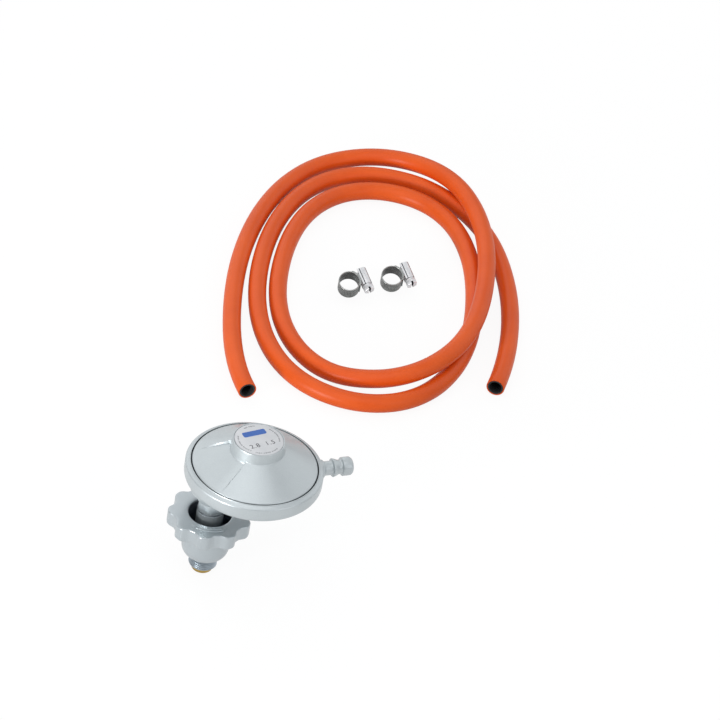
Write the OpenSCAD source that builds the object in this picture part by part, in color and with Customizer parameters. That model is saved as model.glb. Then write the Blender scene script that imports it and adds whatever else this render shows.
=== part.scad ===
// Low pressure gas regulator with a handwheel inlet, its rubber hose and two worm drive clips.
// Origin: centre of the inlet nose tip. +Z runs up the inlet axis, +X along the outlet spigot.

/* [Regulator body] */
// Diameter over the clamping rim
rim_d = 80; // [76:1:90]
// Height of the straight rim band
rim_h = 8.6; // [7:0.2:10]
// Height of the sloping shoulder above the band
shoulder_h = 2.4; // [2:0.2:4]
// Radial width of the sloping shoulder
shoulder_w = 2.6; // [2:0.1:3.2]
// Thickness of the cast walls
wall = 2.5; // [2:0.1:3.2]
// Distance from the inlet axis to the nearest edge of the rim
inlet_edge = 17; // [15:0.5:19]
// Depth of the dished underside below the rim band
dish_h = 5.3; // [5:0.1:8]
// Height of the inlet boss below the dish
boss_h = 6.5; // [5:0.5:10]
// Diameter of the inlet boss at its lower end
boss_d = 17.4; // [16.6:0.2:20]

/* [Cover] */
// Height of the cone between rim and hub
cone_h = 12.1; // [10:0.5:15]
// Diameter of the spring hub at its foot
hub_d = 31; // [30:0.5:34]
// Height of the spring hub
hub_h = 5.8; // [5:0.2:10]
// Taper of the hub on the radius
hub_taper = 0.8; // [0.2:0.1:1.2]
// Width of the recessed sector over the inlet
sector_a = 77; // [50:1:100]
// Depth of the recessed sector at the hub
sector_t = 1.2; // [0.6:0.1:1.6]
// Visible gap between cover and rim
seam = 0.3; // [0.2:0.05:0.5]
// Diameter of the breather hole
vent_d = 1.6; // [1:0.1:2.4]
// Thickness of the label disc
label_t = 0.8; // [0.5:0.1:1.2]

/* [Outlet] */
// Diameter of the spigot's foot
foot_d = 10.8; // [10:0.2:13]
// Length of the spigot beyond the rim
spigot_l = 20.6; // [20.4:0.2:26]
// Diameter of the spigot between its barbs
neck_d = 8.4; // [8:0.2:9.6]
// Diameter over the barbs
barb_d = 11; // [10.4:0.2:12]
// Length of the cylindrical land on the end barb
land_l = 4.8; // [3:0.2:5]
// Bore of the outlet
outlet_bore = 5.5; // [4:0.1:6]

/* [Inlet] */
// Diameter of the nose flange
nose_d = 12.4; // [12:0.2:15]
// Height of the nose flange
nose_h = 3.45; // [3:0.05:5]
// Gas bore of nose and stem
gas_d = 4; // [3:0.2:4.6]
// Diameter of the round end of the stem
stem_d = 15.6; // [14.6:0.1:16]
// Width across the flats of the stem
stem_af = 14.6; // [14:0.2:17]
// Height of the hexagon
hex_h = 7; // [5:0.5:10]
// Turn of the hexagon from the outlet direction
hex_turn = 4; // [0:1:59]

/* [Handwheel] */
// Diameter over the lobes
wheel_d = 48.6; // [46:0.2:54]
// Number of lobes
lobes = 9; // [6:1:12]
// Depth of the valleys between the lobes
lobe_h = 3; // [2:0.1:4]
// Turn of the first lobe from the outlet direction
lobe_turn = 4; // [0:1:45]
// Height of the lobed rim
wheel_h = 9.8; // [8:0.1:12]
// Rounding of the lobed rim
wheel_f = 1.9; // [1:0.1:2.4]
// Outer diameter of the cup
cup_d = 27.9; // [27.4:0.1:30]
// Height of the cup below the lobed rim
cup_h = 19.8; // [18:0.2:24]
// Bore of the cup
cup_bore = 25.3; // [24:0.1:25.4]
// Diameter of the male thread, left hand
thread_d = 16.66; // [16:0.02:17.6]
// Length of the male thread
thread_l = 8.5; // [7:0.1:10]
// Wall of the threaded nipple
nip_wall = 1.9; // [1.6:0.1:2.2]
// Height that the handwheel can be lifted
wheel_travel = 7; // [4:0.5:7.5]

/* [Valve and diaphragm] */
// Stroke of the diaphragm
stroke = 1.5; // [1:0.1:1.6]
// Opening of the valve when no gas flows
valve_open = 0.8; // [0.75:0.05:1]
// Distance from the valve axis to the lever pin
short_arm = 7.5; // [7:0.1:8]
// Diameter of the lever pin
pin_d = 2; // [1.6:0.1:2.2]
// Thickness of the lever plate
lever_t = 0.9; // [0.7:0.05:1]
// Diameter of the orifice boss
jet_boss_d = 8; // [7:0.2:8.4]
// Wire diameter of the main spring
wire_d = 1.5; // [1:0.1:1.8]
// Mean diameter of the main spring
coil_d = 18; // [17:0.2:19]
// Turns of the main spring
coil_n = 5; // [3:1:5]
// Thickness of the rubber diaphragm
dia_t = 1; // [0.6:0.1:1.2]

/* [Hose] */
// Outer diameter of the hose
hose_d = 11.6; // [8:0.1:11.6]
// Bore of the hose
hose_bore = 8; // [5:0.1:8.4]

/* [Clips] */
// Inner diameter of a closed clip
clip_id = 12.8; // [12.4:0.1:14]
// Width of the band
band_w = 10; // [9:0.1:12]
// Thickness of the band
band_t = 0.6; // [0.5:0.05:0.8]
// Diameter of the worm screw
worm_d = 6.4; // [5.6:0.1:6.6]
// Length of the saddle over the screw
saddle_l = 11.5; // [10:0.5:13]
// Thickness of the saddle's sheet
saddle_t = 0.65; // [0.5:0.05:0.8]
// Width across the flats of the screw head
head_af = 7; // [6:0.1:7.6]
// Length of the screw head
head_l = 4.5; // [3:0.1:6]
// Lean of the clips towards the front
clip_lean = 27; // [0:1:35]

/* [Hidden] */
$fn = 96;

cast_c = [0.74, 0.78, 0.80];
steel_c = [0.62, 0.64, 0.66];
brass_c = [0.80, 0.64, 0.30];
rubber_c = [0.10, 0.10, 0.11];
hose_c = [0.86, 0.33, 0.12];

face = 0.05;   // gap between flat faces that turn on each other
fit = 0.05;    // radial gap of screwed and seated parts
run = 0.06;    // radial gap of a pin or guide that runs
loose = 0.3;   // radial gap of parts that must never touch

// Levels up the inlet, from the nose tip
z_neck = nose_h + face;
z_cup = z_neck + thread_l;
z_grip = z_cup + cup_h;
z_top = z_grip + wheel_h;
cup_floor = 3.1;
z_floor = z_cup + cup_floor;
z_head = z_floor + 1;
z_stem = z_head + wheel_travel + loose;
hex_rise = 3.2;
z_hex = z_top + hex_rise;
z_boss = z_hex + hex_h;
z_under = z_boss + boss_h;

// Levels of the body
z_rim0 = z_under + dish_h;
z_rim = z_rim0 + rim_h;
z_seam = z_rim + shoulder_h;
z_hub0 = z_seam + cone_h;
z_hub = z_hub0 + hub_h;
rim_r = rim_d / 2;
inlet_off = rim_r - inlet_edge;
seam_r = rim_r - shoulder_w - 0.7;
cover_r = seam_r - seam;
clamp_r = seam_r - 2.9;
flange_t = 2.1;
z_dia = z_seam - flange_t - dia_t;
z_ch = z_under + wall;
dish_r = rim_r - 12.5;
z_axis = z_rim0 + 1.2;
dia_dip = 2.3;
plate_r = 0.562 * clamp_r;
z_sag = z_dia - dia_dip;

// Valve train
z_lever = z_sag - 2.3;
slot_h = lever_t + 1.1;
z_seal = z_lever - slot_h / 2 - 1.6;
seal_t = 0.9;
z_jet = z_seal - valve_open;
z_jetboss = z_jet - 0.4;
skirt_t = 1.1;
eye_r = pin_d / 2 + 0.7;
ear_in = 3.2;
ear_t = 2;
plunger_r = jet_boss_d / 2 + run + skirt_t;

// Spring seats
plate_t = 1;
z_plate = z_sag + dia_t + face;
z_spring0 = z_plate + plate_t;
z_adj = z_hub0 - 1;
adj_h = 4;
adj_r = coil_d / 2 + 2.8;
label_r = hub_d / 2 - hub_taper - 0.8;
z_label = z_hub - label_t - face;

// Stem and nose
nip_r = thread_d / 2 - 0.93;
tube_r = nip_r - nip_wall - loose;
spig_r = gas_d / 2 + 2;
spig_h = 7.9;
pocket_h = 12.4;
socket_r = 6;
socket_h = 5.5;

// Clips
band_r = clip_id / 2 + band_t;
lap_r = band_r + band_t;
worm_x = lap_r + worm_d / 2 + face;
saddle_r = worm_d / 2 + 0.08;
saddle_ro = saddle_r + saddle_t;
saddle_y = 1.5;
clip_at = [[176.5, 240.2, 4.9], [206.3, 241.6, 4.9]];
clip_side = -26;
clip_lift = band_r * sin(clip_lean);

// Hose route: an oval coil, one station every 28 degrees, radius and lift at each
coil_c = [192.8, 236.6];
coil_a = 64;
coil_ratio = 1.7;
coil_q = 0.035;
coil_t0 = -140;
coil_step = 28;
coil_r = [98, 90, 87.5, 86, 85, 82, 76, 71.5, 69.5, 68.5, 65.5, 61.5, 60, 60, 61, 61.5, 62.5, 62.5,
    62.5, 62.5, 62.5, 64.5, 68.5, 71.5, 72.5, 72.5, 73, 74, 74.5, 74.5, 73.5, 72.5, 73.5, 80, 88.5, 96];
coil_h = [0, 0, 0, 0, 0.5, 5, 11.5, 12.6, 12.6, 12.6, 11.5, 5, 0.5, 0, 0, 0, 0, 0,
    0, 0, 0, 0, 0, 0, 0, 0, 0, 0, 0, 0, 0, 0, 0, 0, 0, 0];

// Points of an arc
function arc(c, r, a0, a1, n = 6) =
    [for (i = [0 : n]) let (a = a0 + (a1 - a0) * i / n) c + r * [cos(a), sin(a)]];

// Height of the cone at a radius
cone_s = cone_h / (cover_r - hub_d / 2);
function cone_z(r) = z_seam + (cover_r - r) * cone_s;

// Smooth curve through a list of values
function at(v, i) = v[max(0, min(len(v) - 1, i))];
function smooth(v, x) = let (i = min(floor(x), len(v) - 2), t = x - i,
    a = i == 0 ? 2 * v[0] - v[1] : v[i - 1], b = v[i], c = v[i + 1],
    d = i + 2 > len(v) - 1 ? 2 * c - b : v[i + 2])
    0.5 * (2 * b + (c - a) * t + (2 * a - 5 * b + 4 * c - d) * t * t + (3 * b - 3 * c + d - a) * t * t * t);
function unit(v) = v / norm(v);

// Corners of a tube's rings along points
function corners(path, r, sides) = [for (i = [0 : len(path) - 1]) for (k = [0 : sides - 1])
    let (t = unit(path[min(i + 1, len(path) - 1)] - path[max(i - 1, 0)]),
    s = unit(cross(t, [0, 0, 1])), a = 90 + 360 * k / sides)
    path[i] + r * (cos(a) * s + sin(a) * cross(s, t))];

// A tube swept along points, solid or with a bore
module tube(path, r, bore = 0, sides = 6) {
    n = len(path);
    pts = concat(corners(path, r, sides), bore > 0 ? corners(path, bore, sides) : []);
    m = n * sides;
    out = [for (i = [0 : n - 2]) for (k = [0 : sides - 1]) let (a = i * sides + k,
        b = i * sides + (k + 1) % sides) each [[a, b, b + sides], [a, b + sides, a + sides]]];
    inn = bore > 0 ? [for (f = out) [f[0] + m, f[2] + m, f[1] + m]] : [];
    e = (n - 1) * sides;
    ends = bore > 0 ?
        [for (k = [0 : sides - 1]) let (j = (k + 1) % sides)
            each [[k, m + j, j], [k, m + k, m + j], [e + k, e + j, m + e + j], [e + k, m + e + j, m + e + k]]] :
        [for (k = [1 : sides - 2]) each [[0, k + 1, k], [e, e + k, e + k + 1]]];
    polyhedron(pts, [for (f = concat(out, inn, ends)) [f[0], f[2], f[1]]], convexity = 8);
}

// Everything on the body axis
module on_body() {
    translate([inlet_off, 0, 0]) children();
}

// Solid of revolution round the outlet axis, x from the body axis
module on_outlet() {
    translate([inlet_off, 0, z_axis]) rotate([0, 90, 0]) children();
}

// Shaft along Y through a point
module cross_rod(x, z, r, w) {
    translate([x, w, z]) rotate([90, 0, 0]) cylinder(r = r, h = 2 * w);
}

// Cast lower half with rim, inlet boss, lever ears and outlet spigot
module lower_body() {
    color(cast_c) difference() {
        union() {
            difference() {
                union() {
                    on_body() rotate_extrude() polygon(concat(
                        [[0, z_under], [dish_r - 1, z_under], [dish_r, z_under + 0.3]],
                        [[rim_r - 5.2, z_rim0 - 0.9]],
                        arc([rim_r - 3.2, z_rim0 + 3.2], 3.2, -90, 0),
                        arc([rim_r - 1.6, z_rim - 1.6], 1.6, 0, 50, 4),
                        [[seam_r + 1, z_seam - 0.1], [seam_r + 0.7, z_seam], [seam_r, z_seam], [seam_r, z_dia]],
                        [[0, z_dia]]));
                    translate([0, 0, z_boss]) cylinder(d1 = boss_d, d2 = boss_d + 4.4, h = boss_h + 1);
                    on_outlet() rotate_extrude() polygon(spigot_points());
                }
                chamber();
            }
            translate([0, 0, z_ch - 1]) cylinder(d = jet_boss_d, h = z_jetboss - z_ch + 1);
            for (s = [-1, 1]) ear(s);
        }
        translate([0, 0, z_boss - 1]) cylinder(r = socket_r + fit, h = socket_h + 1 + fit);
        translate([0, 0, z_boss]) cylinder(d = 3, h = z_ch - z_boss);
        translate([0, 0, z_ch]) cylinder(r = jet_boss_d / 2 - 1.8, h = z_seam - z_ch);
        cross_rod(short_arm, z_lever, pin_d / 2 + 0.02, 9);
        on_outlet() translate([0, 0, dish_r - 3]) cylinder(d = outlet_bore, h = rim_r + spigot_l);
    }
}

// Half section of the spigot, radius and distance from the body axis
function spigot_points() = let (s0 = rim_r + 2.4, s1 = rim_r + 8.3, s2 = rim_r + 13.9, e = rim_r + spigot_l) [
    [0, rim_r - 6], [foot_d / 2, rim_r - 6], [foot_d / 2, s0], [foot_d / 2 - 0.5, s0 + 0.5],
    [neck_d / 2 + 0.2, s0 + 1], [neck_d / 2, s1], [barb_d / 2 - 0.15, s1], [barb_d / 2, s1 + 0.2],
    [barb_d / 2, s1 + 0.7], [neck_d / 2 + 0.1, s1 + 3.4], [neck_d / 2, s2], [barb_d / 2 - 0.15, s2],
    [barb_d / 2, s2 + 0.2], [barb_d / 2, s2 + 0.2 + land_l], [barb_d / 2 - 0.9, e - 0.6],
    [barb_d / 2 - 1.5, e], [0, e]];

// Room under the diaphragm and the seat of the clamped rim
module chamber() {
    on_body() rotate_extrude() polygon([[0, z_ch], [dish_r + 0.2, z_ch], [clamp_r, z_axis + 3],
        [clamp_r, z_dia], [clamp_r, z_seam + 5], [0, z_seam + 5]]);
}

// Cast ear that carries one end of the lever pin
module ear(s) {
    translate([short_arm, s * ear_in + (s < 0 ? 0 : ear_t), 0]) rotate([90, 0, 0]) linear_extrude(ear_t) {
        translate([-eye_r, z_ch - 1]) square([2 * eye_r, z_lever - z_ch + 1]);
        translate([0, z_lever]) circle(r = eye_r);
    }
}

// Cast upper half: cone, spring hub and the recessed sector over the inlet
module upper_cover() {
    hub_r = hub_d / 2;
    top_r = hub_r - hub_taper;
    color(cast_c) difference() {
        on_body() rotate_extrude() polygon(concat(
            [[clamp_r, z_seam - flange_t], [cover_r, z_seam - flange_t], [cover_r, z_seam - 0.3]],
            [[cover_r - 0.3, z_seam]],
            [[hub_r + 1.1, cone_z(hub_r + 1.1)], [hub_r + 0.35, cone_z(hub_r + 0.35) + 0.35]],
            [[hub_r, z_hub0 + 0.9], [top_r, z_hub - 0.4], [top_r - 0.35, z_hub]],
            [[label_r + fit, z_hub], [label_r + fit, z_label], [adj_r + fit, z_label]],
            [[adj_r + fit, cone_z(adj_r) - 1.25 * wall]],
            [[clamp_r, cone_z(clamp_r) - 1.25 * wall]]));
        on_body() rotate([0, 0, 180 - sector_a / 2]) rotate_extrude(angle = sector_a) polygon([
            [hub_r + 0.02, cone_z(hub_r) - sector_t], [cover_r - 1.2, cone_z(cover_r - 1.2)],
            [cover_r - 1, cone_z(hub_r) + 3], [hub_r + 0.02, cone_z(hub_r) + 3]]);
        on_body() rotate([0, 0, coil_a]) translate([hub_r + 3.5, 0, z_seam]) cylinder(d = vent_d, h = 30);
    }
}

// Disc that closes the hub
module hub_label() {
    color([0.84, 0.85, 0.86]) on_body() translate([0, 0, z_label]) cylinder(r = label_r, h = label_t);
}

// Set screw over the main spring, turned with a hexagon key
module adjuster() {
    color(brass_c) on_body() difference() {
        union() {
            translate([0, 0, z_adj]) cylinder(r = adj_r, h = adj_h);
            translate([0, 0, z_adj - 1.5]) cylinder(r = coil_d / 2 - wire_d / 2 - 0.4, h = 2);
        }
        translate([0, 0, z_adj + 1]) cylinder(r = 6, h = adj_h, $fn = 6);
        translate([0, 0, z_adj - 2]) cylinder(r = 2.5, h = adj_h);
    }
}

// Spring that sets the outlet pressure
module main_spring() {
    h = z_adj - z_spring0 - wire_d - 0.04;
    m = coil_n * 16;
    color(steel_c) on_body() tube([for (i = [0 : m]) let (a = 360 * coil_n * i / m)
        [coil_d / 2 * cos(a), coil_d / 2 * sin(a), z_spring0 + wire_d / 2 + 0.02 + h * i / m]], wire_d / 2);
}

// Pressed plate between spring and diaphragm
module spring_plate() {
    r = plate_r;
    color(steel_c) on_body() rotate_extrude() polygon([
        [2.05, z_plate], [r - 0.8, z_plate], [r, z_plate + 0.8], [r, z_plate + 2.5], [r - 0.9, z_plate + 2.5],
        [r - 0.9, z_plate + plate_t + 0.4], [r - 1.3, z_plate + plate_t],
        [coil_d / 2 - wire_d / 2 - 0.35, z_plate + plate_t], [coil_d / 2 - wire_d / 2 - 0.35, z_plate + plate_t + 1],
        [coil_d / 2 - wire_d / 2 - 0.95, z_plate + plate_t + 1], [coil_d / 2 - wire_d / 2 - 0.95, z_plate + plate_t],
        [2.05, z_plate + plate_t]]);
}

// Rubber diaphragm, clamped at its edge and dished to the plate
module diaphragm() {
    flat = plate_r + 1;
    color(rubber_c) on_body() rotate_extrude() polygon([
        [2.1, z_sag], [flat, z_sag], [clamp_r - 0.3, z_dia], [seam_r - 0.6, z_dia],
        [seam_r - 0.6, z_dia + dia_t], [clamp_r - 0.5, z_dia + dia_t], [flat - 0.2, z_sag + dia_t],
        [2.1, z_sag + dia_t]]);
}

// Pin through the diaphragm that lifts the lever between its two collars
module centre_pin() {
    c = slot_h / 2;
    color(brass_c) on_body() rotate_extrude() polygon([
        [0, z_lever - c - 0.8], [3, z_lever - c - 0.8], [3, z_lever - c], [1.6, z_lever - c],
        [1.6, z_lever + c], [3, z_lever + c], [3.4, z_sag - 0.85], [8, z_sag - 0.85], [8, z_sag - face],
        [2, z_sag - face], [2, z_spring0 + 3.2], [0, z_spring0 + 3.2]]);
}

// Nut on the centre pin
module pin_nut() {
    color(steel_c) on_body() translate([0, 0, z_spring0]) difference() {
        cylinder(r = 7 / sqrt(3), h = 2.4, $fn = 6);
        translate([0, 0, -1]) cylinder(r = 2 + 0.02, h = 5);
    }
}

// Rocker between the centre pin and the valve
module lever() {
    color(steel_c) difference() {
        union() {
            translate([0, 0, z_lever - lever_t / 2]) linear_extrude(lever_t) difference() {
                union() {
                    translate([-2.4, -2.25]) square([inlet_off - 1.6, 4.5]);
                    translate([inlet_off - 4, -3.4]) square([6.5, 6.8]);
                }
                translate([inlet_off - 2.4, -1.9]) square([inlet_off, 3.8]);
            }
            cross_rod(0, z_lever, slot_h / 2 - 0.25, 2.25);
            cross_rod(short_arm, z_lever, eye_r, ear_in - loose);
        }
        cross_rod(short_arm, z_lever, pin_d / 2 + run, 9);
    }
}

// Pin of the rocker
module lever_pin() {
    color(steel_c) cross_rod(short_arm, z_lever, pin_d / 2, ear_in + ear_t);
}

// Valve body that rides on the orifice boss
module valve_plunger() {
    z0 = z_seal - 2.1;
    color(brass_c) difference() {
        translate([0, 0, z0]) cylinder(r = plunger_r, h = z_lever + slot_h / 2 + 0.8 - z0);
        translate([0, 0, z0 - 1]) cylinder(r = jet_boss_d / 2 + run, h = z_seal + 0.4 - z0 + 1);
        translate([0, 0, z_seal]) cylinder(r = 3.02, h = seal_t);
        translate([-plunger_r - 1, -2.55, z_lever - slot_h / 2]) cube([2 * plunger_r + 2, 5.1, slot_h]);
    }
}

// Rubber pad of the valve
module valve_seal() {
    color(rubber_c) translate([0, 0, z_seal]) cylinder(r = 3, h = seal_t);
}

// Jet that the pad closes
module orifice() {
    r = jet_boss_d / 2 - 1.8;
    color(brass_c) rotate_extrude() polygon([
        [0.8, z_ch + 0.02], [r - 0.02, z_ch + 0.02], [r - 0.02, z_jetboss], [1.7, z_jetboss],
        [1.1, z_jet], [0.8, z_jet]]);
}

// Hexagon stem between boss and nose
module inlet_stem() {
    hex_r = stem_af / sqrt(3);
    color(cast_c) difference() {
        union() {
            intersection() {
                translate([0, 0, z_hex - 2]) rotate([0, 0, hex_turn]) cylinder(r = hex_r, h = hex_h + 2, $fn = 6);
                rotate_extrude() polygon([[0, z_hex - 1], [stem_af / 2 + 0.2, z_hex - 1], [stem_af / 2 + 0.2, z_hex],
                    [hex_r + 0.3, z_hex + 0.6], [hex_r + 0.3, z_boss], [0, z_boss]]);
            }
            rotate_extrude() polygon([[0, z_stem], [stem_d / 2 - 0.6, z_stem], [stem_d / 2, z_stem + 0.6],
                [stem_d / 2, z_hex], [0, z_hex]]);
            translate([0, 0, z_boss - 1]) cylinder(r = socket_r, h = socket_h + 1);
        }
        translate([0, 0, z_stem - 1]) cylinder(r = spig_r + fit, h = spig_h + 1 + face);
        translate([0, 0, z_stem + spig_h]) cylinder(r = spig_r - 0.5, h = pocket_h - spig_h);
        translate([0, 0, z_stem]) cylinder(d = gas_d - 0.5, h = z_under - z_stem);
    }
}

// Sintered filter in the stem
module inlet_filter() {
    color([0.70, 0.55, 0.32]) translate([0, 0, z_stem + spig_h + face])
        cylinder(r = spig_r - 0.5 - fit, h = pocket_h - spig_h - 2 * face);
}

// Brass nose with its flange, screwed up into the stem
module inlet_nose() {
    tip = 0.9;
    color(brass_c) rotate_extrude() polygon([
        [gas_d / 2, 0.9], [nose_ring_r() - 0.9, 0.9], [nose_ring_r() - 0.9, 0], [nose_d / 2 - tip, 0],
        [nose_d / 2, tip], [nose_d / 2, nose_h], [tube_r, nose_h], [tube_r, z_stem],
        [spig_r, z_stem], [spig_r, z_stem + spig_h - 0.3], [spig_r - 0.3, z_stem + spig_h],
        [gas_d / 2, z_stem + spig_h]]);
}
function nose_ring_r() = nose_d / 2 - 0.9;

// Rubber ring in the nose face
module nose_ring() {
    color(rubber_c) rotate_extrude() polygon([
        [gas_d / 2 + 0.4, 0.1], [nose_ring_r() - 0.95, 0.1], [nose_ring_r() - 0.95, 0.85], [gas_d / 2 + 0.4, 0.85]]);
}

// Thin ring that the thread nipple turns on
module slip_washer() {
    color(steel_c) translate([0, 0, z_neck]) difference() {
        cylinder(r = thread_d / 2 - 1.25, h = 0.7);
        translate([0, 0, -1]) cylinder(r = tube_r + loose, h = 3);
    }
}

// Lobed handwheel with its cup
function lobe_r(a) = let (c = cos(lobes * (a - lobe_turn))) wheel_d / 2 - lobe_h / 2 * (1 - 1.5 * c + c * c * c / 2);
module lobed_rim() {
    n = lobes * 12;
    f = wheel_f;
    prof = concat([for (i = [0 : 3]) [f * (1 - sin(30 * i)), f * (1 - cos(30 * i))]],
        [for (i = [3 : -1 : 0]) [f * (1 - sin(30 * i)), wheel_h - f * (1 - cos(30 * i))]]);
    k = len(prof);
    pts = [for (p = prof) for (j = [0 : n - 1]) let (a = 360 * j / n, r = lobe_r(a) - p[0])
        [r * cos(a), r * sin(a), z_grip + p[1]]];
    sides = [for (i = [0 : k - 2]) for (j = [0 : n - 1]) let (a = i * n + j, b = i * n + (j + 1) % n)
        each [[a, b + n, b], [a, a + n, b + n]]];
    polyhedron(pts, concat([[for (j = [0 : n - 1]) j]], sides,
        [[for (j = [n - 1 : -1 : 0]) (k - 1) * n + j]]), convexity = 4);
}
module handwheel() {
    r = cup_d / 2;
    low = thread_d / 2 + 0.87;
    z_bend = z_cup + 6.5;
    color(cast_c) difference() {
        union() {
            lobed_rim();
            rotate_extrude() polygon(concat([[0, z_cup], [low - 0.3, z_cup]],
                [for (i = [1 : 8]) let (t = 90 - 90 * i / 8)
                    [low + (r - low) * cos(t), z_bend - (z_bend - z_cup) * sin(t)]],
                [[r, z_grip - 1.2], [r + 0.4, z_grip - 0.4], [r + 1.2, z_grip + 0.2], [r + 1.2, z_grip + 2],
                [0, z_grip + 2]]));
        }
        translate([0, 0, z_cup - 1]) cylinder(r = nip_r + fit, h = 10);
        rotate_extrude() polygon(concat([[0, z_floor]],
            [for (i = [0 : 6]) let (t = 90 - 15 * i, w = cup_bore / 2)
                [low - 0.8 + (w - low + 0.8) * cos(t), z_bend - (z_bend - z_floor) * sin(t)]],
            [[cup_bore / 2, z_top - 0.8], [cup_bore / 2 + 0.8, z_top], [cup_bore / 2 + 0.8, z_top + 2],
            [0, z_top + 2]]));
    }
}

// Threaded nipple, riveted into the cup, with the left-hand male thread
module thread_nipple() {
    color(steel_c) rotate_extrude() polygon([
        [tube_r + loose, z_neck + 0.8], [thread_d / 2 - 0.95, z_neck + 0.8], [thread_d / 2 - 0.95, z_neck],
        [thread_d / 2 - 0.6, z_neck], [thread_d / 2, z_neck + 0.6], [thread_d / 2, z_cup - 0.02],
        [nip_r, z_cup - 0.02], [nip_r, z_floor + 0.02], [nip_r + 1, z_floor + 0.02], [nip_r + 1, z_head - 0.3],
        [nip_r + 0.7, z_head], [tube_r + loose, z_head]]);
}

// Route of the hose: a point at each half station
function route(x) = let (t = coil_t0 + coil_step * x, r = smooth(coil_r, x) * (1 + coil_q * (1 - cos(4 * t)) / 2),
    p = coil_ratio * r * cos(t), s = r * sin(t))
    [coil_c[0] + p * cos(coil_a) + s * sin(coil_a), coil_c[1] + p * sin(coil_a) - s * cos(coil_a),
    hose_d / 2 + max(0, smooth(coil_h, x))];
hose_pts = [for (i = [0 : 2 * (len(coil_r) - 1)]) route(i / 2)];

// Least distance from a point to a stretch, and from the hose's own corners to its other turns
function off_line(p, a, b) = let (t = max(0, min(1, ((p - a) * (b - a)) / ((b - a) * (b - a)))))
    norm(p - a - t * (b - a));
hose_skin = corners(hose_pts, hose_d / 2, 6);
hose_gap = min([for (i = [0 : len(hose_skin) - 1]) for (j = [0 : len(hose_pts) - 2])
    if (abs(j + 0.5 - floor(i / 6)) > 5) off_line(hose_skin[i], hose_pts[j], hose_pts[j + 1])]) - hose_d / 2;
hose_len = [for (i = 0, s = 0; i < len(hose_pts); s = s + (i + 1 < len(hose_pts) ?
    norm(hose_pts[i + 1] - hose_pts[i]) : 0), i = i + 1) s];
echo(str("least gap of the hose to itself: ", hose_gap, " mm"));
echo(str("length of the hose: ", hose_len[len(hose_len) - 1], " mm"));

// Rubber hose, coiled flat, both ends open
module gas_hose() {
    color(hose_c) tube(hose_pts, hose_d / 2, hose_bore / 2);
}

// Place of one clip: screw at its right, ring axis leaning to the front, lowest edge on the floor
module at_clip(i) {
    translate([clip_at[i][0], clip_at[i][1], clip_lift]) rotate([0, 0, clip_side])
        rotate([clip_lean, 0, 0]) rotate([0, 0, clip_at[i][2] - clip_side]) children();
}

// Band of a clip, lapped under the screw and slotted for the worm
module clip_band() {
    color(steel_c) difference() {
        union() {
            difference() {
                cylinder(r = band_r, h = band_w);
                translate([0, 0, -1]) cylinder(d = clip_id, h = band_w + 2);
            }
            rotate([0, 0, -42]) rotate_extrude(angle = 98) polygon([[band_r - 0.05, 0], [lap_r, 0],
                [lap_r, band_w], [band_r - 0.05, band_w]]);
        }
        for (a = [-24 : 12 : 36]) rotate([0, 0, a]) translate([band_r + 0.1, 0, band_w / 2]) rotate([8, 0, 0])
            translate([0, -0.45, -band_w * 0.28]) cube([2, 0.9, band_w * 0.56]);
    }
}

// Saddle of a clip: a bent sheet over the screw with its foot on the band
module clip_housing() {
    zc = band_w / 2;
    color(steel_c) difference() {
        union() {
            translate([0, saddle_y + saddle_l / 2, 0]) rotate([90, 0, 0]) linear_extrude(saddle_l) {
                translate([worm_x, zc]) circle(r = saddle_ro);
                translate([lap_r + 0.15, zc - saddle_ro]) square([worm_x - lap_r - 0.15, 2 * saddle_ro]);
            }
            rotate([0, 0, -28]) rotate_extrude(angle = 62) polygon([[lap_r + 0.02, zc - saddle_ro],
                [lap_r + 0.6, zc - saddle_ro], [lap_r + 0.6, zc + saddle_ro], [lap_r + 0.02, zc + saddle_ro]]);
        }
        translate([worm_x, 30, zc]) rotate([90, 0, 0]) cylinder(r = saddle_r, h = 60);
        translate([0, -30, zc - saddle_r]) cube([worm_x, 60, 2 * saddle_r]);
        cylinder(r = lap_r + 0.02, h = band_w + 2);
    }
}

// Worm screw of a clip with its slotted hexagon head
module clip_screw() {
    y0 = saddle_y - saddle_l / 2;
    color(steel_c) translate([worm_x, y0 + saddle_l, band_w / 2]) rotate([90, 0, 0]) difference() {
        union() {
            cylinder(d = worm_d, h = saddle_l + 1);
            translate([0, 0, saddle_l + 0.1]) cylinder(r = saddle_ro, h = 0.8);
            translate([0, 0, saddle_l + 0.8]) intersection() {
                cylinder(r = head_af / sqrt(3), h = head_l, $fn = 6);
                cylinder(r1 = head_af / 2 + 2, r2 = head_af / 2 + 0.1, h = head_l);
            }
        }
        translate([-0.6, -head_af, saddle_l + head_l - 0.7]) cube([1.2, 2 * head_af, 3]);
    }
}

module clip_band_a() { at_clip(0) clip_band(); }
module clip_band_b() { at_clip(1) clip_band(); }
module clip_housing_a() { at_clip(0) clip_housing(); }
module clip_housing_b() { at_clip(1) clip_housing(); }
module clip_screw_a() { at_clip(0) clip_screw(); }
module clip_screw_b() { at_clip(1) clip_screw(); }

lower_body();
upper_cover();
hub_label();
adjuster();
main_spring();
spring_plate();
diaphragm();
centre_pin();
pin_nut();
lever();
lever_pin();
valve_plunger();
valve_seal();
orifice();
inlet_stem();
inlet_filter();
inlet_nose();
nose_ring();
slip_washer();
handwheel();
thread_nipple();
gas_hose();
clip_band_a();
clip_band_b();
clip_housing_a();
clip_housing_b();
clip_screw_a();
clip_screw_b();
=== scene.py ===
import math
import bpy
from mathutils import Matrix, Vector


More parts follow.
